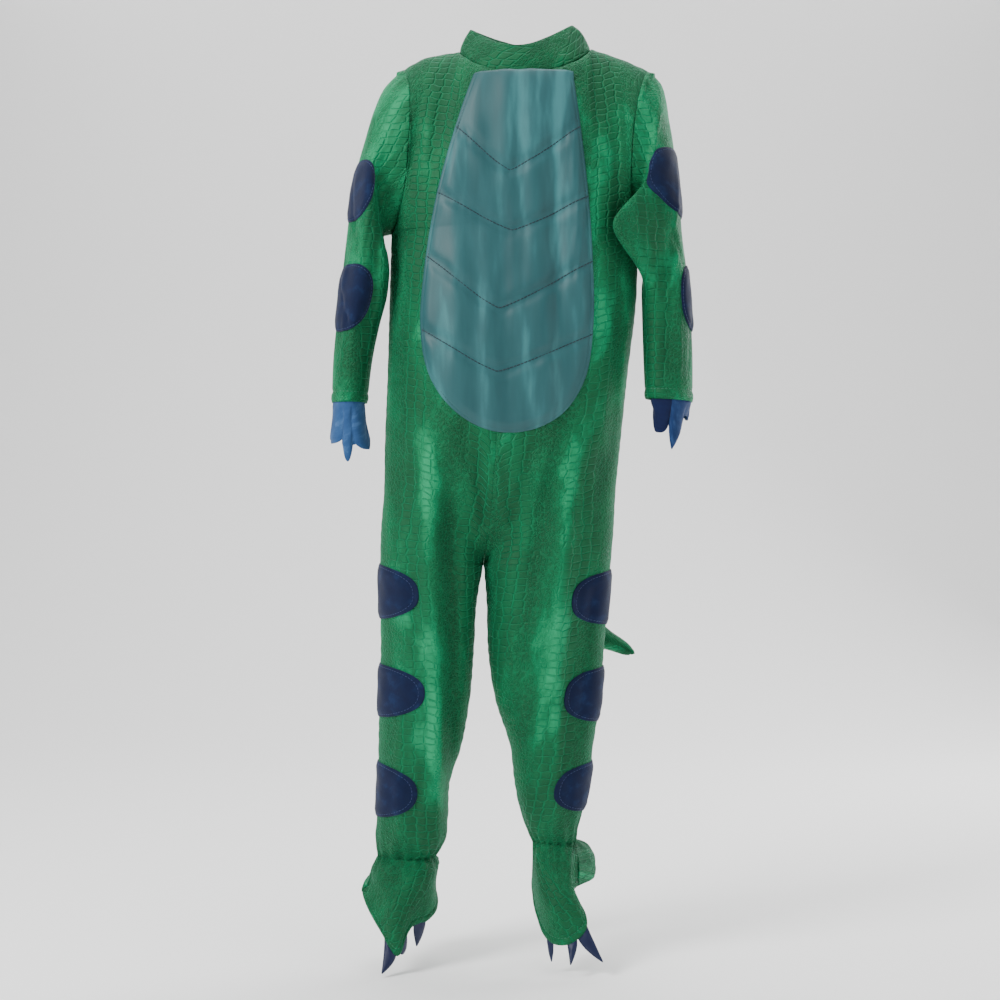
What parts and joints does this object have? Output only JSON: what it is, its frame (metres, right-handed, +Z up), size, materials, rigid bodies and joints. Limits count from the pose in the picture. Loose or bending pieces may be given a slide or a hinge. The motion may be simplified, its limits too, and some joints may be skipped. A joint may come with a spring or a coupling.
{
  "type": "child's dinosaur costume",
  "caption": "Child's hollow jumpsuit costume with collar, quilted belly panel, spotted sleeves and legs, hand flaps, clawed foot covers and a stuffed tail.",
  "frame": {"origin": "middle of the neck opening at the collar seam, where the costume is held up", "axes": "+Z up along the height, +X towards the wearer's left, -Y towards the front"},
  "size_m": [0.3841, 0.2191, 0.9877],
  "materials": {
    "velour": "green polyester velour embossed with a reptile skin of small scales, soft sheen",
    "satin": "teal satin, smooth and glossy, quilted with dark chevron stitching",
    "spot_felt": "navy brushed cloth spots, matt",
    "hand_felt": "blue brushed cloth, matt",
    "claw_satin": "navy satin, lightly stuffed"
  },
  "bodies": {
    "root": {"front_right": "velour", "front_left": "velour", "back_right": "velour", "back_left": "velour", "belly_panel": "satin", "collar": "velour", "closure_strip": "velour", "sleeve_right": "velour", "sleeve_left": "velour", "sleeve_spot_right_1": "spot_felt", "sleeve_spot_right_2": "spot_felt", "leg_spot_right_1": "spot_felt", "leg_spot_right_2": "spot_felt", "leg_spot_right_3": "spot_felt", "hand_flap_right": "hand_felt", "foot_cover_right": "velour", "toe_claw_right_1": "claw_satin", "toe_claw_right_2": "claw_satin", "toe_claw_right_3": "claw_satin", "sleeve_spot_left_1": "spot_felt", "sleeve_spot_left_2": "spot_felt", "leg_spot_left_1": "spot_felt", "leg_spot_left_2": "spot_felt", "leg_spot_left_3": "spot_felt", "hand_flap_left": "hand_felt", "foot_cover_left": "velour", "toe_claw_left_1": "claw_satin", "toe_claw_left_2": "claw_satin", "toe_claw_left_3": "claw_satin", "tail": "velour"}
  },
  "joints": []
}
